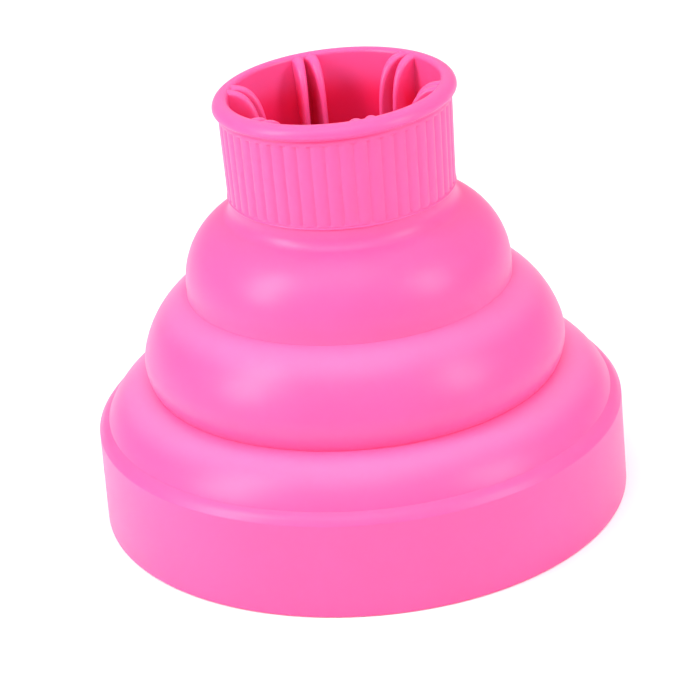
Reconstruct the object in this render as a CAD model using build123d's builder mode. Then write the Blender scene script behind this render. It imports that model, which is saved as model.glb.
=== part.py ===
from build123d import *
import os
from math import asin, cos, degrees, radians, sin

# Collapsible silicone diffuser for a hand-held hair dryer.
#
# The hood stands on its mouth: origin at the centre of the mouth plane, +Z up
# through the collar that grips the dryer's nozzle.  Millimetres and degrees.
#
# Hood, bellows and collar are one silicone moulding.  Rings that keep their
# shape are separate solids here, and so are the three domed walls between
# them, which roll inside out when the hood is pushed flat.

# ---- overall sizes ---------------------------------------------------------
base_radius = 72.5
total_height = 119.1
dome_wall = 1.8
body_gap = 0.3

# ---- skirt and the groove for the front plate ------------------------------
skirt_top_radius = 72.1
skirt_height = 26.5
skirt_inner_radius = 70.1
mouth_edge_fillet = 0.5
corner_bead_bulge = 0.3
groove_depth = 0.9
plate_bottom = 16.0
plate_thickness = 2.4
plate_clearance = 0.1

# ---- domed walls: centre (r, z) and outer radius of each arc ----------------
shoulder_centre = (52.5, 21.0)
shoulder_radius = 18.95
lobe_2_centre = (32.0, 41.05)
lobe_2_radius = 26.1
waist_2_radius = 10.75
lobe_1_centre = (24.15, 66.8)
lobe_1_radius = 20.0

# angles on those arcs, measured from the horizontal
shoulder_foot_angle = 27.0
shoulder_crest_angle = 80.0
lobe_2_waist_angle = 16.6
lobe_2_foot_angle = -32.2
lobe_2_crest_angle = 62.0
lobe_1_neck_angle = 67.3
held_edge = 9.0
lobe_1_held_edge = 7.0

# ---- collar ------------------------------------------------------------------
collar_inner_radius = 28.2
sleeve_radius = 30.0
sleeve_bottom = 91.2
lip_radius = 30.5
lip_height = 1.0
neck_radius = 29.9
rib_count = 52
rib_radius = 1.35
rib_circle_radius = 29.55
rib_top = 113.9
band_radius = 30.9
rim_width = 4.2
rim_height = 3.6
rim_rounding = 1.75

# ---- grip fins: six pairs of blades inside the collar ------------------------
pair_count = 6
first_pair_azimuth = 45.0
fin_thickness = 1.2
fin_root_radius = collar_inner_radius - body_gap - fin_thickness / 2
fin_tip_radius = 19.5
pair_half_gap = 1.9
fin_flare = 4.4
fin_top = 118.6
fin_full_depth_height = 100.0
fin_bottom = 91.5

# ---- front plate -------------------------------------------------------------
ring_pitch = 9.0
hole_radius = 2.5
hole_chamfer = 0.4
hole_rings = (1, 3, 4, 6, 7)
holes_per_ring_step = 6
finger_rings = {"comb_fingers_inner": (2, 6), "comb_fingers_outer": (5, 12)}
finger_length = 10.0
finger_root_radius = 3.0
finger_taper = 5.0
finger_rounding = 1.5


def on_arc(centre, radius, angle):
    """The point of a circle in the (r, z) plane at an angle from the horizontal."""
    return (centre[0] + radius * cos(radians(angle)), centre[1] + radius * sin(radians(angle)))


def wall_band(centre, radius, start, end):
    """Section of a domed wall: two concentric arcs, closed by straight radial ends."""
    with BuildLine() as outline:
        outer = CenterArc(centre, radius, start, end - start)
        inner = CenterArc(centre, radius - dome_wall, start, end - start)
        Line(outer @ 0, inner @ 0)
        Line(outer @ 1, inner @ 1)
    make_face(outline.edges())


def gap_angle(radius):
    """The angle that takes up body_gap on an arc of this radius."""
    return degrees(body_gap / radius)


# held edges: where each rigid ring stops and the rolling wall begins
shoulder_low = shoulder_foot_angle + held_edge
shoulder_high = shoulder_crest_angle - held_edge
lobe_2_low = lobe_2_waist_angle
lobe_2_high = lobe_2_crest_angle - held_edge
lobe_1_low = held_edge
lobe_1_high = lobe_1_neck_angle - lobe_1_held_edge


# ---- skirt: straight hood wall, corner bead and the foot of the shoulder ------
def bulge(low, high, height):
    """The point that stands off the middle of the chord from low to high, on its outer side."""
    across = (low - high).rotate(Axis.Z, 90).normalized()
    return (low + high) / 2 + across * height


shoulder_foot = on_arc(shoulder_centre, shoulder_radius, shoulder_foot_angle)
shoulder_inner_foot = on_arc(shoulder_centre, shoulder_radius - dome_wall, shoulder_foot_angle)

with BuildPart() as skirt:
    with BuildSketch(Plane.XZ):
        with BuildLine():
            side = Line((base_radius, 0), (skirt_top_radius, skirt_height))
            bead_middle = bulge(side @ 1, Vector(*shoulder_foot), corner_bead_bulge)
            bead = ThreePointArc(side @ 1, bead_middle, shoulder_foot)
            Polyline(
                bead @ 1,
                shoulder_inner_foot,
                (skirt_inner_radius, skirt_height - 2 * dome_wall),
                (skirt_inner_radius, 0),
                side @ 0,
            )
        make_face()
        wall_band(shoulder_centre, shoulder_radius, shoulder_foot_angle,
                  shoulder_low - gap_angle(shoulder_radius))
        with Locations((skirt_inner_radius, plate_bottom)):
            Rectangle(groove_depth, plate_thickness + 2 * plate_clearance,
                      align=(Align.MIN, Align.MIN), mode=Mode.SUBTRACT)
    revolve(axis=Axis.Z)
    fillet(skirt.edges().group_by(Axis.Z)[0], mouth_edge_fillet)
skirt.part.label = "skirt"


# ---- lower ring: crest of the shoulder and the upright wall of lobe 2 ---------
lobe_2_waist = on_arc(lobe_2_centre, lobe_2_radius, lobe_2_waist_angle)
waist_2_centre = on_arc(lobe_2_waist, -waist_2_radius, lobe_2_waist_angle)

with BuildPart() as lower_ring:
    with BuildSketch(Plane.XZ):
        wall_band(shoulder_centre, shoulder_radius, shoulder_high + gap_angle(shoulder_radius),
                  shoulder_crest_angle + held_edge / 2)
        wall_band(waist_2_centre, waist_2_radius, lobe_2_foot_angle - held_edge, lobe_2_waist_angle)
    revolve(axis=Axis.Z)
lower_ring.part.label = "lower_ring"


# ---- upper ring: crest of lobe 2 and the upright wall of lobe 1 ---------------
lobe_1_equator = on_arc(lobe_1_centre, lobe_1_radius, 0)
lobe_2_crest_height = on_arc(lobe_2_centre, lobe_2_radius, lobe_2_crest_angle)[1]

with BuildPart() as upper_ring:
    with BuildSketch(Plane.XZ):
        wall_band(lobe_2_centre, lobe_2_radius, lobe_2_high + gap_angle(lobe_2_radius), lobe_2_crest_angle)
        with Locations((lobe_1_equator[0], lobe_1_equator[1])):
            Rectangle(dome_wall, lobe_1_equator[1] - lobe_2_crest_height + dome_wall,
                      align=(Align.MAX, Align.MAX))
        wall_band(lobe_1_centre, lobe_1_radius, 0, lobe_1_low)
    revolve(axis=Axis.Z)
upper_ring.part.label = "upper_ring"


# ---- rolling walls ------------------------------------------------------------
with BuildPart() as shoulder_membrane:
    with BuildSketch(Plane.XZ):
        wall_band(shoulder_centre, shoulder_radius, shoulder_low, shoulder_high)
    revolve(axis=Axis.Z)
shoulder_membrane.part.label = "shoulder_membrane"

with BuildPart() as middle_membrane:
    with BuildSketch(Plane.XZ):
        wall_band(lobe_2_centre, lobe_2_radius, lobe_2_low + gap_angle(lobe_2_radius), lobe_2_high)
    revolve(axis=Axis.Z)
middle_membrane.part.label = "middle_membrane"

with BuildPart() as upper_membrane:
    with BuildSketch(Plane.XZ):
        wall_band(lobe_1_centre, lobe_1_radius, lobe_1_low + gap_angle(lobe_1_radius), lobe_1_high)
    revolve(axis=Axis.Z)
upper_membrane.part.label = "upper_membrane"


# ---- collar: neck, thin lip, ribbed sleeve and rolled rim ----------------------
neck_foot = on_arc(lobe_1_centre, lobe_1_radius, lobe_1_neck_angle)
neck_foot_inner = on_arc(lobe_1_centre, lobe_1_radius - dome_wall, lobe_1_neck_angle)
rim_centre = (collar_inner_radius + rim_width / 2, total_height - rim_height / 2)

with BuildPart() as collar:
    with BuildSketch(Plane.XZ):
        wall_band(lobe_1_centre, lobe_1_radius, lobe_1_high + gap_angle(lobe_1_radius), lobe_1_neck_angle)
        with BuildLine():
            Polyline(
                neck_foot,
                (neck_radius, sleeve_bottom - lip_height),
                (lip_radius, sleeve_bottom - lip_height),
                (lip_radius, sleeve_bottom),
                (sleeve_radius, sleeve_bottom),
                (sleeve_radius, rib_top),
                (band_radius, rib_top),
                (band_radius, rim_centre[1]),
                (collar_inner_radius, rim_centre[1]),
                (collar_inner_radius, sleeve_bottom),
                neck_foot_inner,
                close=True,
            )
        make_face()
        with Locations(rim_centre):
            RectangleRounded(rim_width, rim_height, rim_rounding)
    revolve(axis=Axis.Z)
    with BuildSketch(Plane.XY.offset(sleeve_bottom)):
        with PolarLocations(rib_circle_radius, rib_count):
            Circle(rib_radius)
    extrude(amount=rib_top - sleeve_bottom)
collar.part.label = "collar"


# ---- grip fins -------------------------------------------------------------------
def grip_fin(number):
    """One blade: odd numbers stand on the low-azimuth side of their pair, even ones on the high side."""
    pair_azimuth = first_pair_azimuth + 360 / pair_count * ((number - 1) // 2)
    side = -1 if number % 2 else 1
    root_azimuth = radians(pair_azimuth + side * degrees(asin(pair_half_gap / fin_root_radius)))
    heading = radians(pair_azimuth - side * fin_flare)
    inward = Vector(-cos(heading), -sin(heading), 0)
    root = Vector(fin_root_radius * cos(root_azimuth), fin_root_radius * sin(root_azimuth), 0)
    reach = fin_root_radius - fin_tip_radius
    with BuildPart() as fin:
        with BuildSketch(Plane(origin=root, x_dir=inward, z_dir=inward.cross(Vector(0, 0, 1)))):
            with BuildLine():
                top = EllipticalCenterArc((0, fin_full_depth_height), reach,
                                          fin_top - fin_full_depth_height, 0, arc_size=90)
                Polyline(top @ 1, (0, fin_bottom), (reach, fin_bottom), top @ 0)
            make_face()
        extrude(amount=fin_thickness / 2, both=True)
        with BuildSketch(Plane(origin=root + Vector(0, 0, fin_bottom))):
            Circle(fin_thickness / 2)
        extrude(amount=fin_top - fin_bottom)
    fin.part.label = f"grip_fin_{number:02d}"
    return fin.part


# ---- front plate and its comb fingers ----------------------------------------------
with BuildPart() as front_plate:
    with BuildSketch(Plane.XY.offset(plate_bottom + plate_clearance)):
        Circle(skirt_inner_radius + groove_depth - plate_clearance)
        for ring in hole_rings:
            with PolarLocations(ring * ring_pitch, ring * holes_per_ring_step):
                Circle(hole_radius, mode=Mode.SUBTRACT)
    extrude(amount=plate_thickness)
    circles = front_plate.edges().filter_by(GeomType.CIRCLE)
    chamfer(circles.filter_by(lambda edge: edge.radius == hole_radius), hole_chamfer)
front_plate.part.label = "front_plate"


def comb_fingers(name, ring, count):
    """One ring of blunt fingers that hang from the front plate, towards the hair."""
    with BuildPart() as fingers:
        with BuildSketch(Plane.XY.offset(plate_bottom + plate_clearance)):
            with PolarLocations(ring * ring_pitch, count):
                Circle(finger_root_radius)
        extrude(amount=-finger_length, taper=finger_taper)
        fillet(fingers.edges().group_by(Axis.Z)[0], finger_rounding)
    fingers.part.label = name
    return fingers.part


os.makedirs("parts", exist_ok=True)
export_step(skirt.part, "parts/skirt.step")
export_step(lower_ring.part, "parts/lower_ring.step")
export_step(upper_ring.part, "parts/upper_ring.step")
export_step(shoulder_membrane.part, "parts/shoulder_membrane.step")
export_step(middle_membrane.part, "parts/middle_membrane.step")
export_step(upper_membrane.part, "parts/upper_membrane.step")
export_step(collar.part, "parts/collar.step")
export_step(front_plate.part, "parts/front_plate.step")
for fin_number in range(1, 2 * pair_count + 1):
    blade = grip_fin(fin_number)
    export_step(blade, f"parts/{blade.label}.step")
for finger_node, (finger_ring, finger_count) in finger_rings.items():
    export_step(comb_fingers(finger_node, finger_ring, finger_count), f"parts/{finger_node}.step")
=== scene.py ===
"""Folding silicone diffuser hood for a hair dryer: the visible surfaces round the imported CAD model."""

from math import asin, pi, radians

import bmesh
import bpy
import numpy as np
from bpy.props import FloatProperty, FloatVectorProperty, IntProperty, PointerProperty
from mathutils import Matrix, Vector


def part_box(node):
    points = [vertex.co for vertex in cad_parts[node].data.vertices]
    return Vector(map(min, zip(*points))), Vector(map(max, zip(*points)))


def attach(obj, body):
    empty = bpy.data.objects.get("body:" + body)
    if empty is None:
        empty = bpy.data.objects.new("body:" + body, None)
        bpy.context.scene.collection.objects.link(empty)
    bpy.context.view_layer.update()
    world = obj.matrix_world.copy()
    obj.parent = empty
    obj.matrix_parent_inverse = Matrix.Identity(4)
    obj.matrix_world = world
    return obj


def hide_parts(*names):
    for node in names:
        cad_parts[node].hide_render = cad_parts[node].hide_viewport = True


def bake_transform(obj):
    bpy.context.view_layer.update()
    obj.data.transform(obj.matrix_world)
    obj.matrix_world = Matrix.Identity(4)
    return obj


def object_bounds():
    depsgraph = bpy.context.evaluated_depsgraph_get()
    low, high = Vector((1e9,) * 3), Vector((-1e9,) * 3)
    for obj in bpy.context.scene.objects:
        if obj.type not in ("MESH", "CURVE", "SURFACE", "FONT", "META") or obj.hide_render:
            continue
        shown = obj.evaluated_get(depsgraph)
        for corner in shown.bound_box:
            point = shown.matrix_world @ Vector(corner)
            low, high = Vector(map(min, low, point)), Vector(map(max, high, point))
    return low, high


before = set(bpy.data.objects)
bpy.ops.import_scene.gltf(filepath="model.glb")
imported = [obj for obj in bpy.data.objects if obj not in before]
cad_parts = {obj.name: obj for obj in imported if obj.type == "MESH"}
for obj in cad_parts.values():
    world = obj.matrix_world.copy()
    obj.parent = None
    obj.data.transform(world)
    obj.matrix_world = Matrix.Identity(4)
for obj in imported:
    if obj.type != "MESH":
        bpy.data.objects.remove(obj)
cad_low, cad_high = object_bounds()

bl_info = {
    "name": "Folding Diffuser Hood",
    "version": (1, 0, 0),
    "blender": (4, 5, 0),
    "location": "3D View > Sidebar > Diffuser",
    "description": "Builds a folding silicone diffuser hood for a hair dryer, with its studio stage",
    "category": "Add Mesh",
}

MM = 0.001


# ---- colours and shader nodes ------------------------------------------------------


def linear(hex_colour):
    """An sRGB hex value, such as 'F965B3', as linear red, green, blue and an alpha of 1."""
    value = np.array([int(hex_colour[i:i + 2], 16) for i in (0, 2, 4)]) / 255
    value = np.where(value <= 0.04045, value / 12.92, ((value + 0.055) / 1.055) ** 2.4)
    return (*value.tolist(), 1.0)


def add_node(tree, kind, settings=None, inputs=None):
    """Adds a shader node.  settings are its own attributes; inputs maps a socket's name to a value or to
    the output socket that feeds it."""
    node = tree.nodes.new(kind)
    for name, value in (settings or {}).items():
        setattr(node, name, value)
    for name, value in (inputs or {}).items():
        if isinstance(value, bpy.types.NodeSocket):
            tree.links.new(value, node.inputs[name])
        else:
            node.inputs[name].default_value = value
    return node


def new_material(name):
    """An empty node material and its output node."""
    material = bpy.data.materials.new(name)
    material.use_nodes = True
    tree = material.node_tree
    tree.nodes.clear()
    return material, tree, add_node(tree, "ShaderNodeOutputMaterial")


def noise(tree, place, size, detail=3.0):
    """Noise whose features are about the given size."""
    return add_node(tree, "ShaderNodeTexNoise", inputs={
        "Vector": place, "Scale": 1 / size, "Detail": detail}).outputs["Fac"]


def mottle(tree, amount, colour, darkest, low, high):
    """A pigment that goes from a darker shade to the full colour as a noise rises from low to high."""
    shades = add_node(tree, "ShaderNodeValToRGB", inputs={"Fac": amount})
    dark, full = shades.color_ramp.elements
    dark.position, full.position = low, high
    dark.color = tuple(darkest * c for c in colour[:3]) + (1.0,)
    full.color = tuple(colour[:3]) + (1.0,)
    return shades.outputs["Color"]


def bumps(tree, height, strength, distance):
    """A normal that shows a noise as relief of the given depth."""
    return add_node(tree, "ShaderNodeBump", inputs={
        "Height": height, "Strength": strength, "Distance": distance}).outputs["Normal"]


# painted shade, where the silicone is drawn a deeper red down the bore and at the fins' roots: heights, and
# radii, over which it fades in and out
PAINTED_SHADE_HEIGHTS = (103 * MM, 117 * MM)
PAINTED_SHADE_FADE_IN, PAINTED_SHADE_FADE_OUT = (21 * MM, 27 * MM), (28.3 * MM, 28.9 * MM)
PAINTED_SHADE_GREEN, PAINTED_SHADE_BLUE = 0.22, 0.4
# painted light, where it is drawn paler against the shade of the folds: rings (radius, height, 0) just
# under the domes, outside each fold line
PAINTED_LIGHT_RINGS = ((59.8 * MM, 36.8 * MM, 0), (46.0 * MM, 59.5 * MM, 0))
PAINTED_LIGHT_REACH = 8 * MM
PAINTED_LIGHT_GREEN, PAINTED_LIGHT_BLUE = 1.75, 1.28


def ramp(tree, value, low, high, start=0.0, end=1.0):
    """A smoothstep of a value, from start at low to end at high."""
    step = add_node(tree, "ShaderNodeMapRange", {"interpolation_type": "SMOOTHSTEP"}, {
        "Value": value, "From Min": low, "From Max": high, "To Min": start, "To Max": end})
    return step.outputs["Result"]


def maths(tree, operation, first, second):
    """A maths node's result."""
    return add_node(tree, "ShaderNodeMath", {"operation": operation}, {0: first, 1: second}).outputs[0]


def painted_light_and_shade(tree, place):
    """A factor on the pigment's green and blue, not a measured property of silicone.
    Down the bore's wall and the fins' roots it falls below 1: painted shade, which draws them a deeper red
    than the light alone does.  Just outside the two fold lines it rises above 1: painted light, which keeps
    the domes there pale against the folds' shade."""
    flat = add_node(tree, "ShaderNodeVectorMath", {"operation": "MULTIPLY"}, {0: place, 1: (1, 1, 0)})
    radius = add_node(tree, "ShaderNodeVectorMath", {"operation": "LENGTH"},
                      {0: flat.outputs[0]}).outputs["Value"]
    height = add_node(tree, "ShaderNodeSeparateXYZ", inputs={"Vector": place}).outputs["Z"]
    off_the_wall = maths(tree, "MAXIMUM", ramp(tree, radius, *PAINTED_SHADE_FADE_IN, 1.0, 0.0),
                         ramp(tree, radius, *PAINTED_SHADE_FADE_OUT))
    outside_painted_shade = maths(tree, "MAXIMUM", off_the_wall, ramp(tree, height, *PAINTED_SHADE_HEIGHTS))
    spot = add_node(tree, "ShaderNodeCombineXYZ", inputs={"X": radius, "Y": height}).outputs["Vector"]
    near = [add_node(tree, "ShaderNodeVectorMath", {"operation": "DISTANCE"},
                     {0: spot, 1: ring}).outputs["Value"] for ring in PAINTED_LIGHT_RINGS]
    nearest = maths(tree, "MINIMUM", *near)
    green, blue = [maths(tree, "MULTIPLY", ramp(tree, outside_painted_shade, 0.0, 1.0, shade_factor, 1.0),
                         ramp(tree, nearest, 0.0, PAINTED_LIGHT_REACH, light_factor, 1.0))
                   for shade_factor, light_factor in ((PAINTED_SHADE_GREEN, PAINTED_LIGHT_GREEN), (PAINTED_SHADE_BLUE, PAINTED_LIGHT_BLUE))]
    factor = add_node(tree, "ShaderNodeCombineXYZ", inputs={"X": 1.0, "Y": green, "Z": blue})
    return factor.outputs["Vector"]


def moulded_silicone(colours):
    """Silicone rubber, compression moulded in a fine-blasted steel tool.  To the eye: an even, slightly
    cloudy pigment, broad soft highlights with no sharp reflection, a very fine grain and a redder glow
    where light comes through the thin walls.  On top of that, painted shade draws the bore a deeper red,
    and painted light keeps the domes below the folds pale."""
    material, tree, output = new_material("moulded_silicone")
    place = add_node(tree, "ShaderNodeTexCoord").outputs["Object"]
    cloud = noise(tree, place, 18 * MM)
    pigment = mottle(tree, cloud, colours.silicone, 0.965, 0.3, 0.7)
    # the pigment times the painted shade down the bore and the painted light beside the folds
    pigment_with_painted_light = add_node(tree, "ShaderNodeVectorMath", {"operation": "MULTIPLY"},
                      {0: pigment, 1: painted_light_and_shade(tree, place)})
    # the blasted tool's grain is about 0.05 mm; it is drawn at 0.25 mm so that it shows at all
    grain = noise(tree, place, 0.25 * MM, detail=2.0)
    sheen = add_node(tree, "ShaderNodeMapRange", inputs={"Value": cloud, "To Min": 0.34, "To Max": 0.40})
    shader = add_node(tree, "ShaderNodeBsdfPrincipled", inputs={
        "Base Color": pigment_with_painted_light.outputs["Vector"], "Roughness": sheen.outputs["Result"],
        "Normal": bumps(tree, grain, 0.12, 0.03 * MM), "IOR": 1.41, "Subsurface Weight": 0.3,
        "Subsurface Radius": (1.0, 0.25, 0.4), "Subsurface Scale": 1.5 * MM})
    tree.links.new(shader.outputs["BSDF"], output.inputs["Surface"])
    return material


def moulded_polypropylene(colours):
    """Polypropylene, injection moulded with a fine spark texture: a dry, matt plastic a little harder and
    duller to the eye than the silicone round it."""
    material, tree, output = new_material("moulded_polypropylene")
    place = add_node(tree, "ShaderNodeTexCoord").outputs["Object"]
    # the spark texture's pits are about 0.1 mm across and drawn at 0.3 mm to show
    pits = noise(tree, place, 0.3 * MM)
    shader = add_node(tree, "ShaderNodeBsdfPrincipled", inputs={
        "Base Color": mottle(tree, pits, colours.plate, 0.93, 0.35, 0.65), "Roughness": 0.52,
        "Normal": bumps(tree, pits, 0.25, 0.04 * MM), "IOR": 1.49})
    tree.links.new(shader.outputs["BSDF"], output.inputs["Surface"])
    return material


def painted_floor(colours):
    """Matt white studio paint, rolled: plain and pale, with no visible pattern."""
    material, tree, output = new_material("studio_paint")
    shader = add_node(tree, "ShaderNodeBsdfPrincipled", inputs={
        "Base Color": tuple(colours.floor), "Roughness": 0.9})
    tree.links.new(shader.outputs["BSDF"], output.inputs["Surface"])
    return material


MATERIALS = {}


def material_of(kind):
    """The scene's one copy of a material, made when it is first asked for."""
    if kind not in MATERIALS:
        MATERIALS[kind] = kind(bpy.context.scene.diffuser_colours)
    return MATERIALS[kind]


# ---- surfaces ------------------------------------------------------------------------


def arc(centre, radius, start, end, steps):
    """Points of a circle in the (radius, height) plane: centre + radius * (cos a, sin a), a from start to
    end in degrees."""
    angle = np.radians(np.linspace(start, end, steps))
    return np.asarray(centre) + radius * np.stack([np.cos(angle), np.sin(angle)], axis=1)


def rounded(corners, radii, steps=7):
    """A closed outline with every corner rounded.  Each corner p becomes an arc whose centre lies on the
    corner's bisector at r / sin(half angle), swept from one tangent point to the other."""
    corners, radii = np.asarray(corners, float), np.asarray(radii, float)[:, None]
    before = np.roll(corners, 1, axis=0) - corners
    after = np.roll(corners, -1, axis=0) - corners
    before /= np.linalg.norm(before, axis=1, keepdims=True)
    after /= np.linalg.norm(after, axis=1, keepdims=True)
    half = np.arccos(np.clip((before * after).sum(1), -1, 1))[:, None] / 2
    bisector = before + after
    bisector /= np.linalg.norm(bisector, axis=1, keepdims=True)
    centre = corners + bisector * radii / np.sin(half)
    first = (corners + before * radii / np.tan(half) - centre) / radii
    last = (corners + after * radii / np.tan(half) - centre) / radii
    sweep = (pi - 2 * half)[:, :, None]
    t = np.linspace(0, 1, steps)[None, :, None]
    spoke = (np.sin((1 - t) * sweep) * first[:, None] + np.sin(t * sweep) * last[:, None]) / np.sin(sweep)
    return (centre[:, None] + radii[:, None] * spoke).reshape(-1, 2)


def walled(curve, thickness):
    """A closed outline: the outer curve, then the same curve set back along its normals by the wall."""
    along = np.gradient(curve, axis=0)
    normal = np.stack([along[:, 1], -along[:, 0]], axis=1)
    normal /= np.linalg.norm(normal, axis=1, keepdims=True)
    return np.concatenate([curve, (curve - normal * thickness)[::-1]])


def turned(outline, segments):
    """A surface of revolution: (r cos a, r sin a, z) for each outline point (r, z) and each azimuth a."""
    azimuth = np.linspace(0, 2 * pi, segments, endpoint=False)[None, :]
    radius, height = outline[:, 0:1], outline[:, 1:2]
    return np.stack([radius * np.cos(azimuth), radius * np.sin(azimuth), height + 0 * azimuth], axis=-1)


def grid_faces(rows, columns):
    """Quads of a grid that closes on itself both ways, wound so that an anticlockwise outline faces out."""
    row, column = np.meshgrid(np.arange(rows), np.arange(columns), indexing="ij")
    next_row, next_column = (row + 1) % rows, (column + 1) % columns
    quads = [row * columns + column, row * columns + next_column,
             next_row * columns + next_column, next_row * columns + column]
    return np.stack(quads, axis=-1).reshape(-1, 4)


def make_piece(name, grids, material):
    """One smooth-shaded mesh from closed grids in millimetres.  Coinciding points are merged, which closes
    poles and folded ends."""
    points, faces, start = [], [], 0
    for grid in grids:
        rows, columns = grid.shape[:2]
        points.append(grid.reshape(-1, 3) * MM)
        faces.append(grid_faces(rows, columns) + start)
        start += rows * columns
    mesh = bpy.data.meshes.new(name)
    points, faces = np.concatenate(points), np.concatenate(faces)
    mesh.vertices.add(len(points))
    mesh.vertices.foreach_set("co", points.ravel())
    mesh.loops.add(faces.size)
    mesh.loops.foreach_set("vertex_index", faces.ravel())
    mesh.polygons.add(len(faces))
    mesh.polygons.foreach_set("loop_start", 4 * np.arange(len(faces)))
    mesh.update(calc_edges=True)
    shell = bmesh.new()
    shell.from_mesh(mesh)
    bmesh.ops.remove_doubles(shell, verts=shell.verts, dist=0.0005 * MM)
    shell.to_mesh(mesh)
    shell.free()
    mesh.validate()
    mesh.shade_smooth()
    mesh.materials.append(material)
    piece = bpy.data.objects.new(name, mesh)
    bpy.context.scene.collection.objects.link(piece)
    return piece


def silicone_piece(name, *grids):
    """One mesh of the silicone moulding."""
    return make_piece(name, grids, material_of(moulded_silicone))


# ---- sizes -------------------------------------------------------------------------------

skirt_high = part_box("skirt")[1]
collar_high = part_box("collar")[1]
plate_low, plate_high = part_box("front_plate")


def length(name, description, default):
    """A length setting of the add-on, in metres."""
    return FloatProperty(name=name, description=description, default=default,
                         subtype="DISTANCE", unit="LENGTH", precision=5)


def tint(name, description, hex_colour):
    """A colour setting of the add-on."""
    return FloatVectorProperty(name=name, description=description, default=linear(hex_colour),
                               subtype="COLOR", size=4, min=0, max=1)


class HoodSizes(bpy.types.PropertyGroup):
    """Sizes of the hood that a user would change."""

    base_radius: length("Base radius", "Outer radius of the mouth's edge", skirt_high.x)
    skirt_height: length("Skirt height", "Height of the straight hood wall", 26.5 * MM)
    skirt_wall: length("Skirt wall", "Thickness of the straight hood wall", 2.4 * MM)
    dome_wall: length("Dome wall", "Thickness of the folding walls", 1.8 * MM)
    total_height: length("Height", "Height of the unfolded hood, to the top of the rim", collar_high.z)
    bore_radius: length("Bore radius", "Inner radius of the collar", 28.2 * MM)
    rib_depth: length("Rib depth", "How far the grooves between the ribs are cut in", 0.5 * MM)
    fin_reach: length("Fin reach", "How far a grip fin stands in from the bore's wall", 8.7 * MM)
    lean: FloatProperty(name="Lean", description="How far the soft rim rests out of level, one side low",
                        default=radians(1.6), subtype="ANGLE", unit="ROTATION")
    rib_count: IntProperty(name="Ribs", description="Number of ribs round the collar", default=52, min=8)


class HoodColours(bpy.types.PropertyGroup):
    """Colours of the hood and its stage, stored linear."""

    silicone: tint("Silicone", "Pigment of the silicone moulding", "FC5499")
    plate: tint("Front plate", "Pigment of the front plate", "F04C8C")
    floor: tint("Floor", "Paint of the studio floor", "F9F9F9")


def sizes():
    """The hood's sizes as a plain dictionary, with its lengths in millimetres."""
    group = bpy.context.scene.diffuser_sizes
    scale = {"LENGTH": 1 / MM}
    return {name: getattr(group, name) * scale.get(group.bl_rna.properties[name].unit, 1)
            for name in group.__annotations__}


def leaned(grid):
    """Collar points as they rest: raised by x * tan(lean) times a smoothstep from the lip up to the ribs'
    top, so the rim tips a little to the -X side while the neck stays level."""
    rise = np.clip((grid[..., 2] - LIP_HIGH) / (RIB_TOP - LIP_HIGH), 0, 1)
    rise = rise * rise * (3 - 2 * rise) * np.tan(sizes()["lean"]) * grid[..., 0]
    return grid + rise[..., None] * (0, 0, 1)


# ---- the hood's wall, millimetres: (radius, height) ---------------------------------------------

SHOULDER_CENTRE, SHOULDER_RADIUS = (52.15, 21.25), 18.8
SHOULDER_FOOT, SHOULDER_CREST = 25.4, 78.8
VALLEY = (69.1, 29.3)
SKIRT_TAPER, PLATE_CLEARANCE, BAND_CROWN = 0.4, 0.1, 0.25
SHOULDER_INSIDE, SKIRT_INSIDE = 27.9, 25.0
LOBE_2_CENTRE, LOBE_2_RADIUS = (32.0, 41.05), 26.1
LOBE_2_WAIST, LOBE_2_CREST = 16.6, 62.0
WAIST_CENTRE, WAIST_RADIUS, WAIST_FOOT = (46.71, 45.44), 10.75, -32.2
LOBE_1_CENTRE, LOBE_1_RADIUS = (24.15, 66.8), 20.0
LOBE_1_FOOT_HEIGHT, LOBE_1_ROLL_START = 63.3, 70.0
NECK_RADIUS, NECK_FILLET, NECK_TOP = 30.3, 4.0, 90.6
HIDDEN_ARC = 5.0
LIP_RADIUS, LIP_LOW, LIP_HIGH, LIP_ROUNDING = 30.75, 90.3, 91.2, 0.35
SLEEVE_RADII = (30.55, 31.0)
RIB_TOP, RIB_END = 113.9, 0.35
SEGMENTS = 256
RIB_SAMPLES = 16
LINER_WALL, LINER_DROP = 0.9, 2.5
BRIM_RADIUS, BRIM_HEIGHT, BRIM_BASE = 32.43, 116.5, 115.5
BRIM_UNDERSIDE, CROWN_WIDTH, BORE_ROUNDING = (1.38, 0.95), 2.88, 1.15
PARTING_EDGE, PARTING_EDGE_RADIUS = (31.78, 115.75), 0.27


class DIFFUSER_OT_skirt(bpy.types.Operator):
    """Straight hood wall with its rounded mouth edge, plate groove and crowned corner band"""

    bl_idname = "diffuser.skirt"
    bl_label = "Skirt"

    def execute(self, context):
        s = sizes()
        outer, height = s["base_radius"], s["skirt_height"]
        inner, top = outer - s["skirt_wall"], outer - SKIRT_TAPER
        groove_low, groove_high = plate_low.z / MM - PLATE_CLEARANCE, plate_high.z / MM + PLATE_CLEARANCE
        groove = plate_high.x / MM + PLATE_CLEARANCE
        band = ((top + VALLEY[0]) / 2 + BAND_CROWN, (height + VALLEY[1]) / 2 + BAND_CROWN)
        mouth = [(inner, 0), (outer, 0)]
        shoulder = [(top, height), band, VALLEY, (VALLEY[0] - 1.2, VALLEY[1] - 0.3)]
        inside = [(VALLEY[0] - 1.5, SHOULDER_INSIDE), (inner, SKIRT_INSIDE)]
        plate_groove = [(inner, groove_high), (groove, groove_high),
                        (groove, groove_low), (inner, groove_low)]
        corners = mouth + shoulder + inside + plate_groove
        radii = [0.8, 0.9] + [0.9, 5.0, 0.3, 0.3] + [0.5, 1.5] + [0.15] * len(plate_groove)
        piece = silicone_piece("skirt_wall", turned(rounded(corners, radii), SEGMENTS))
        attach(piece, "base")
        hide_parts("skirt")
        return {"FINISHED"}


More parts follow.
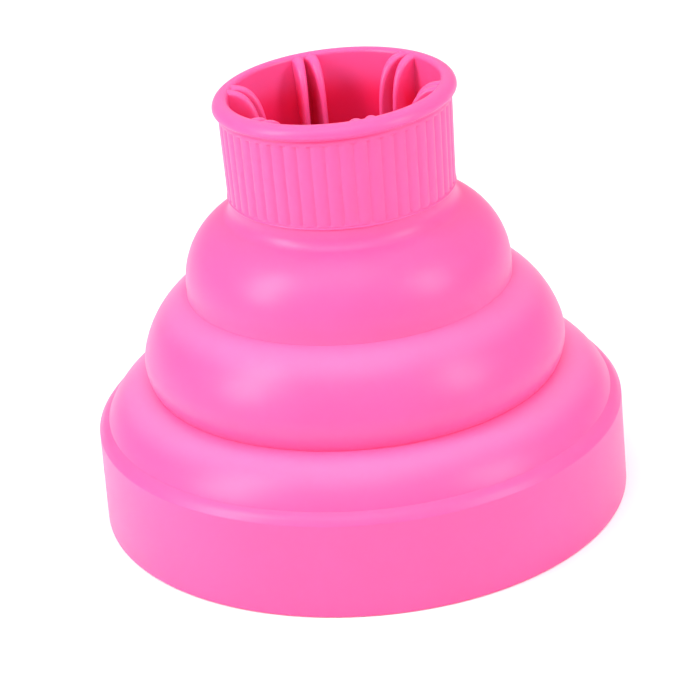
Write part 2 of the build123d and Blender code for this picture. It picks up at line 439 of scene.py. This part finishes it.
class DIFFUSER_OT_shoulder(bpy.types.Operator):
    """Domed wall that rises from the skirt to the second lobe"""

    bl_idname = "diffuser.shoulder"
    bl_label = "Shoulder"

    def execute(self, context):
        curve = arc(SHOULDER_CENTRE, SHOULDER_RADIUS, SHOULDER_FOOT - HIDDEN_ARC,
                    SHOULDER_CREST + HIDDEN_ARC, 64)
        piece = silicone_piece("shoulder_wall", turned(walled(curve, sizes()["dome_wall"]), SEGMENTS))
        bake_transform(piece)
        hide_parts("shoulder_membrane")
        return {"FINISHED"}


class DIFFUSER_OT_lobe_2(bpy.types.Operator):
    """Second lobe: an upright waist, held by the lower ring, and the dome over it"""

    bl_idname = "diffuser.lobe_2"
    bl_label = "Second lobe"

    def execute(self, context):
        waist = arc(WAIST_CENTRE, WAIST_RADIUS, WAIST_FOOT - 2 * HIDDEN_ARC, LOBE_2_WAIST, 40)
        dome = arc(LOBE_2_CENTRE, LOBE_2_RADIUS, LOBE_2_WAIST, LOBE_2_CREST + HIDDEN_ARC / 2, 56)
        curve = np.concatenate([waist, dome[1:]])
        piece = silicone_piece("lobe_2_wall", turned(walled(curve, sizes()["dome_wall"]), SEGMENTS))
        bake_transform(piece)
        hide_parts("lower_ring", "middle_membrane")
        return {"FINISHED"}


class DIFFUSER_OT_lobe_1(bpy.types.Operator):
    """Top lobe: an upright foot, held by the upper ring, the dome over it, and the neck"""

    bl_idname = "diffuser.lobe_1"
    bl_label = "Top lobe"

    def execute(self, context):
        # the neck's fillet touches the dome from outside, so their centres are both radii apart
        fillet_r = NECK_RADIUS + NECK_FILLET
        rise = np.sqrt((LOBE_1_RADIUS + NECK_FILLET) ** 2 - (fillet_r - LOBE_1_CENTRE[0]) ** 2)
        fillet_centre = (fillet_r, LOBE_1_CENTRE[1] + rise)
        touch = np.degrees(np.arctan2(rise, fillet_r - LOBE_1_CENTRE[0]))
        foot_r = LOBE_1_CENTRE[0] + LOBE_1_RADIUS
        foot = np.stack([np.full(6, foot_r), np.linspace(LOBE_1_FOOT_HEIGHT, LOBE_1_CENTRE[1], 6)], axis=1)
        dome = arc(LOBE_1_CENTRE, LOBE_1_RADIUS, 0, touch, 72)
        fillet = arc(fillet_centre, NECK_FILLET, touch + 180, 180, 20)
        neck = np.stack([np.full(5, NECK_RADIUS), np.linspace(fillet_centre[1], NECK_TOP, 5)], axis=1)
        curve = np.concatenate([foot, dome[1:], fillet[1:], neck[1:]])
        piece = silicone_piece("lobe_1_wall", turned(walled(curve, sizes()["dome_wall"]), SEGMENTS))
        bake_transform(piece)
        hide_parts("upper_ring", "upper_membrane")
        return {"FINISHED"}


def flutes(azimuth, height, count):
    """Depth of the grooves between the ribs, 0 to 1.  Round the collar each rib is a crowned arc,
    1 - |2t - 1|^2.2 over its pitch; up the collar the grooves stop sharply at both ends."""
    phase = (azimuth * count / (2 * pi)) % 1
    groove = np.abs(2 * phase - 1) ** 2.2
    low = np.clip((height - LIP_HIGH) / RIB_END, 0, 1)
    high = np.clip((RIB_TOP - height) / RIB_END, 0, 1)
    return groove * low * high


class DIFFUSER_OT_collar_sleeve(bpy.types.Operator):
    """Ribbed sleeve with the thin lip at its foot and the plain band under the rim"""

    bl_idname = "diffuser.collar_sleeve"
    bl_label = "Collar sleeve"

    def execute(self, context):
        s = sizes()
        inside = s["bore_radius"] + LINER_WALL / 2
        lip = arc((LIP_RADIUS - LIP_ROUNDING, (LIP_LOW + LIP_HIGH) / 2), LIP_ROUNDING, -90, 90, 9)
        rib_foot = LIP_HIGH + RIB_END * np.linspace(0.05, 1, 5)
        rib_middle = np.linspace(LIP_HIGH + 1, RIB_TOP - 1, 8)
        rib_head = RIB_TOP - RIB_END * np.linspace(1, 0, 5)
        heights = np.concatenate([rib_foot, rib_middle, rib_head, [RIB_TOP + 0.4, BRIM_BASE + 0.3]])
        outer = np.stack([np.interp(heights, [LIP_HIGH, RIB_TOP], SLEEVE_RADII), heights], axis=1)
        hidden = np.stack([np.full(4, inside), np.linspace(BRIM_BASE, LIP_LOW - 0.5, 4)], axis=1)
        outline = np.concatenate([lip, outer, hidden])
        grid = turned(outline, s["rib_count"] * RIB_SAMPLES)
        azimuth = np.linspace(0, 2 * pi, grid.shape[1], endpoint=False)[None, :]
        depth = s["rib_depth"] * flutes(azimuth, outline[:, 1:2], s["rib_count"])
        depth = depth * (outline[:, 0:1] > inside)
        spokes = np.stack([np.cos(azimuth), np.sin(azimuth), 0 * azimuth], axis=-1)
        grid = leaned(grid - depth[:, :, None] * spokes)
        piece = silicone_piece("collar_sleeve", grid)
        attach(piece, "collar")
        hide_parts("collar")
        return {"FINISHED"}


class DIFFUSER_OT_rim(bpy.types.Operator):
    """Rolled rim with a thin parting edge under its brim, and the smooth bore that runs down from it"""

    bl_idname = "diffuser.rim"
    bl_label = "Rim"

    def execute(self, context):
        s = sizes()
        bore, top = s["bore_radius"], s["total_height"]
        bottom = LIP_LOW - LINER_DROP
        foot = arc((bore + LINER_WALL / 2, bottom), LINER_WALL / 2, 180, 360, 9)
        edge = arc(PARTING_EDGE, PARTING_EDGE_RADIUS, -100, 60, 11)
        under = np.array(BRIM_UNDERSIDE)
        low_brim = arc((0, 0), 1.0, -42, -4, 8) * under + (BRIM_RADIUS - under[0], BRIM_HEIGHT)
        crown = (arc((0, 0), 1.0, 0, 86, 26) * (CROWN_WIDTH, top - BRIM_HEIGHT)
                 + (BRIM_RADIUS - CROWN_WIDTH, BRIM_HEIGHT))
        inner = arc((bore + BORE_ROUNDING, top - BORE_ROUNDING), BORE_ROUNDING, 92, 180, 12)
        wall = np.stack([np.full(10, bore), np.linspace(top - 2.5, bottom + 1, 10)], axis=1)
        liner = bore + LINER_WALL
        sleeve = SLEEVE_RADII[1]
        base = np.array([(liner, BRIM_BASE - 1.0), (liner + 0.3, BRIM_BASE),
                         (sleeve + 0.1, BRIM_BASE), (sleeve + 0.45, BRIM_BASE + 0.02)])
        outline = np.concatenate([edge, low_brim, crown, inner, wall, foot, base])
        piece = silicone_piece("rim_bead", leaned(turned(outline, SEGMENTS)))
        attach(piece, "collar")
        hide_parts("collar")
        return {"FINISHED"}


PAIRS = 6
FIRST_PAIR_AZIMUTH = 45.0
PAIR_HALF_GAP, FIN_FLARE = 1.9, 4.4
FIN_LOW, FIN_BEND, FIN_HIGH, FIN_ROOT_HIGH = 91.5, 100.0, 118.8, 117.6
FIN_SWELL_LOW = 106.0
FIN_TOP_OVERLAP, FIN_ROOT_SINK = 1.2, 0.6
FIN_TOP_POWER = 2.8
FIN_EDGE, FIN_EDGE_GROWTH = 0.68, 0.7
FIN_SIDE_FLARE = 0.7


def fin_grid(reach):
    """One blade in its own axes: x in from the bore's wall, y across, z up.  Its free edge rises straight
    and then follows a quarter of a superellipse to the top of the wall.  Each section runs from the wall to
    that edge; its half thickness is edge + flare * exp(-distance in mm), and it ends in a half round."""
    straight = np.linspace(0, 1, 8, endpoint=False)
    turn = np.linspace(0, pi / 2, 34)
    power = 2 / FIN_TOP_POWER
    top_x = reach - (reach + FIN_TOP_OVERLAP) * (1 - np.cos(turn) ** power)
    edge_x = np.concatenate([np.full(len(straight), reach), top_x])
    edge_z = np.concatenate([FIN_LOW + (FIN_BEND - FIN_LOW) * straight,
                             FIN_BEND + (FIN_HIGH - FIN_BEND) * np.sin(turn) ** power])
    root_z = FIN_LOW + (FIN_ROOT_HIGH - FIN_LOW) * (edge_z - FIN_LOW) / (FIN_HIGH - FIN_LOW)
    swell = np.clip((edge_z - FIN_SWELL_LOW) / (FIN_HIGH - FIN_SWELL_LOW), 0, 1) ** 1.5
    half = (FIN_EDGE + FIN_EDGE_GROWTH * swell)[:, None]
    depth = np.hypot(edge_x + FIN_ROOT_SINK, edge_z - root_z)[:, None]
    side = np.linspace(0, 1, 10)[None, :]
    cap = np.linspace(0, pi, 13)[None, 1:-1]
    side_s = side * np.maximum(depth - half, 0.05)
    side_y = half + FIN_SIDE_FLARE * np.exp(-side_s)
    cap_s = np.maximum(depth - half, 0.05) + half * np.sin(cap)
    cap_y = (half + FIN_SIDE_FLARE * np.exp(-cap_s)) * np.cos(cap)
    s = np.concatenate([side_s, cap_s, side_s[:, ::-1]], axis=1) / depth
    y = np.concatenate([side_y, cap_y, -side_y[:, ::-1]], axis=1)
    x = -FIN_ROOT_SINK + (edge_x[:, None] + FIN_ROOT_SINK) * s
    z = root_z[:, None] + (edge_z - root_z)[:, None] * s
    grid = np.stack([x, y, z], axis=-1)
    closed = grid * (1, 0, 1)
    return np.concatenate([closed[:1], grid, closed[-1:]])


class DIFFUSER_OT_grip_fins(bpy.types.Operator):
    """Six pairs of thin curved blades that grip the dryer's nozzle"""

    bl_idname = "diffuser.grip_fins"
    bl_label = "Grip fins"

    def execute(self, context):
        s = sizes()
        bore = s["bore_radius"]
        blade = fin_grid(s["fin_reach"])
        for number in range(1, 2 * PAIRS + 1):
            side = -1 if number % 2 else 1
            pair = radians(FIRST_PAIR_AZIMUTH + 360 / PAIRS * ((number - 1) // 2))
            root_azimuth = pair + side * asin(PAIR_HALF_GAP / bore)
            heading = pair - side * radians(FIN_FLARE)
            inward = -np.array([np.cos(heading), np.sin(heading), 0])
            across = np.array([-inward[1], inward[0], 0])
            root = bore * np.array([np.cos(root_azimuth), np.sin(root_azimuth), 0])
            grid = root + blade[..., 0:1] * inward + blade[..., 1:2] * across + blade[..., 2:3] * (0, 0, 1)
            name = f"grip_fin_{number:02d}"
            piece = silicone_piece(f"{name}_blade", leaned(grid))
            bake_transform(piece)
            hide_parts(name)
        return {"FINISHED"}


class DIFFUSER_OT_front_plate(bpy.types.Operator):
    """Perforated plate across the mouth, from the CAD model, in its own plastic"""

    bl_idname = "diffuser.front_plate"
    bl_label = "Front plate"

    def execute(self, context):
        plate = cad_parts["front_plate"]
        plate.data.materials.clear()
        plate.data.materials.append(material_of(moulded_polypropylene))
        return {"FINISHED"}


FINGER_RINGS = {"comb_fingers_inner": (18.0, 6), "comb_fingers_outer": (45.0, 12)}
FINGER_TIP_RADIUS, FINGER_ROOT_RADIUS, FINGER_FILLET, FINGER_SINK = 2.0, 4.0, 1.0, 0.4


class DIFFUSER_OT_comb_fingers(bpy.types.Operator):
    """Blunt tapered fingers that hang from the plate and lift the hair"""

    bl_idname = "diffuser.comb_fingers"
    bl_label = "Comb fingers"

    def execute(self, context):
        for node, (ring, count) in FINGER_RINGS.items():
            low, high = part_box(node)
            tip, root = low.z / MM, high.z / MM
            round_tip = arc((0, tip + FINGER_TIP_RADIUS), FINGER_TIP_RADIUS, -90, -8, 10)
            foot = arc((FINGER_ROOT_RADIUS, root - FINGER_FILLET), FINGER_FILLET, 180, 92, 6)
            sunk = [(FINGER_ROOT_RADIUS, root + FINGER_SINK), (0.0, root + FINGER_SINK)]
            outline = np.concatenate([round_tip, foot, sunk])
            finger = turned(outline, 28)
            azimuths = np.linspace(0, 2 * pi, count, endpoint=False)
            places = np.stack([ring * np.cos(azimuths), ring * np.sin(azimuths), 0 * azimuths], axis=1)
            piece = make_piece(f"{node}_turned", [finger + place for place in places],
                               material_of(moulded_polypropylene))
            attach(piece, "base")
            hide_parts(node)
        return {"FINISHED"}


# ---- stage ---------------------------------------------------------------------------------

CAMERA_PLACE = (0.0, -0.68294, 0.35807)
CAMERA_HEADING, CAMERA_PITCH, CAMERA_ROLL = 0.006, 0.429, -0.086
CAMERA_LENS = 145.5
SKY_LOW, SKY_RISE = 0.52, 1.1
FLOOR_HALF_WIDTH = 4.0
# azimuth and elevation in degrees, distance, width and height in metres, power in watts
SOFTBOXES = {
    "left_softbox": (-155, 33, 0.60, 0.18, 0.42, 2.4),
    "right_softbox": (-30, 27, 0.70, 0.20, 0.36, 1.8),
    "front_softbox": (-92, 62, 1.00, 0.60, 0.50, 1.6),
}


def softbox(name, azimuth, elevation, distance, width, height, power):
    """A rectangular area light that looks at the middle of the hood."""
    data = bpy.data.lights.new(name, "AREA")
    data.shape = "RECTANGLE"
    data.size, data.size_y, data.energy = width, height, power
    light = bpy.data.objects.new(name, data)
    bpy.context.scene.collection.objects.link(light)
    a, e = radians(azimuth), radians(elevation)
    out = Vector((np.cos(a) * np.cos(e), np.sin(a) * np.cos(e), np.sin(e)))
    light.location = (cad_low + cad_high) / 2 + out * distance
    light.rotation_euler = out.to_track_quat("Z", "Y").to_euler()


def studio_floor():
    """A wide flat floor that the hood stands on."""
    mesh = bpy.data.meshes.new("studio_floor")
    edge = FLOOR_HALF_WIDTH
    corners = [(-edge, -edge, 0), (edge, -edge, 0), (edge, edge, 0), (-edge, edge, 0)]
    mesh.from_pydata(corners, [], [(0, 1, 2, 3)])
    mesh.materials.append(material_of(painted_floor))
    floor = bpy.data.objects.new("studio_floor", mesh)
    bpy.context.scene.collection.objects.link(floor)


def studio_air():
    """White air all round, of strength SKY_LOW + SKY_RISE * sin(elevation)^2: brightest overhead."""
    world = bpy.data.worlds.new("studio_air")
    world.use_nodes = True
    tree = world.node_tree
    place = add_node(tree, "ShaderNodeTexCoord").outputs["Generated"]
    height = add_node(tree, "ShaderNodeSeparateXYZ", inputs={"Vector": place}).outputs["Z"]
    rise = maths(tree, "MULTIPLY", height, height)
    strength = maths(tree, "ADD", maths(tree, "MULTIPLY", rise, SKY_RISE), SKY_LOW)
    background = tree.nodes["Background"]
    background.inputs["Color"].default_value = (1, 1, 1, 1)
    tree.links.new(strength, background.inputs["Strength"])
    bpy.context.scene.world = world


def studio_camera():
    """The camera, in front of the hood and above it, looking down at it."""
    data = bpy.data.cameras.new("camera")
    data.lens = CAMERA_LENS
    camera = bpy.data.objects.new("camera", data)
    bpy.context.scene.collection.objects.link(camera)
    turn = (Matrix.Rotation(CAMERA_HEADING, 4, "Z") @ Matrix.Rotation(pi / 2 - CAMERA_PITCH, 4, "X")
            @ Matrix.Rotation(CAMERA_ROLL, 4, "Z"))
    camera.matrix_world = Matrix.Translation(CAMERA_PLACE) @ turn
    bpy.context.scene.camera = camera


class DIFFUSER_OT_stage(bpy.types.Operator):
    """Pale floor, even studio light, three softboxes round the front of the hood and the camera"""

    bl_idname = "diffuser.stage"
    bl_label = "Stage"

    def execute(self, context):
        context.scene.view_settings.view_transform = "Standard"
        studio_floor()
        studio_air()
        for name, setting in SOFTBOXES.items():
            softbox(name, *setting)
        studio_camera()
        return {"FINISHED"}


# ---- panel and registration ---------------------------------------------------------------------

PIECES = (DIFFUSER_OT_skirt, DIFFUSER_OT_shoulder, DIFFUSER_OT_lobe_2, DIFFUSER_OT_lobe_1,
          DIFFUSER_OT_collar_sleeve, DIFFUSER_OT_rim, DIFFUSER_OT_grip_fins, DIFFUSER_OT_front_plate,
          DIFFUSER_OT_comb_fingers, DIFFUSER_OT_stage)


class DIFFUSER_PT_panel(bpy.types.Panel):
    """Sizes, colours and one button for each piece"""

    bl_idname = "DIFFUSER_PT_panel"
    bl_label = "Diffuser Hood"
    bl_space_type = "VIEW_3D"
    bl_region_type = "UI"
    bl_category = "Diffuser"

    def draw(self, context):
        for group in (context.scene.diffuser_sizes, context.scene.diffuser_colours):
            box = self.layout.box()
            for name in group.__annotations__:
                box.prop(group, name)
        for operator in PIECES:
            self.layout.operator(operator.bl_idname)


CLASSES = (HoodSizes, HoodColours, *PIECES, DIFFUSER_PT_panel)


def register():
    for cls in CLASSES:
        bpy.utils.register_class(cls)
    bpy.types.Scene.diffuser_sizes = PointerProperty(type=HoodSizes)
    bpy.types.Scene.diffuser_colours = PointerProperty(type=HoodColours)


def unregister():
    del bpy.types.Scene.diffuser_colours
    del bpy.types.Scene.diffuser_sizes
    for cls in reversed(CLASSES):
        bpy.utils.unregister_class(cls)


def main():
    register()
    for operator in PIECES:
        group, name = operator.bl_idname.split(".")
        getattr(getattr(bpy.ops, group), name)()


if __name__ == "__main__":
    main()
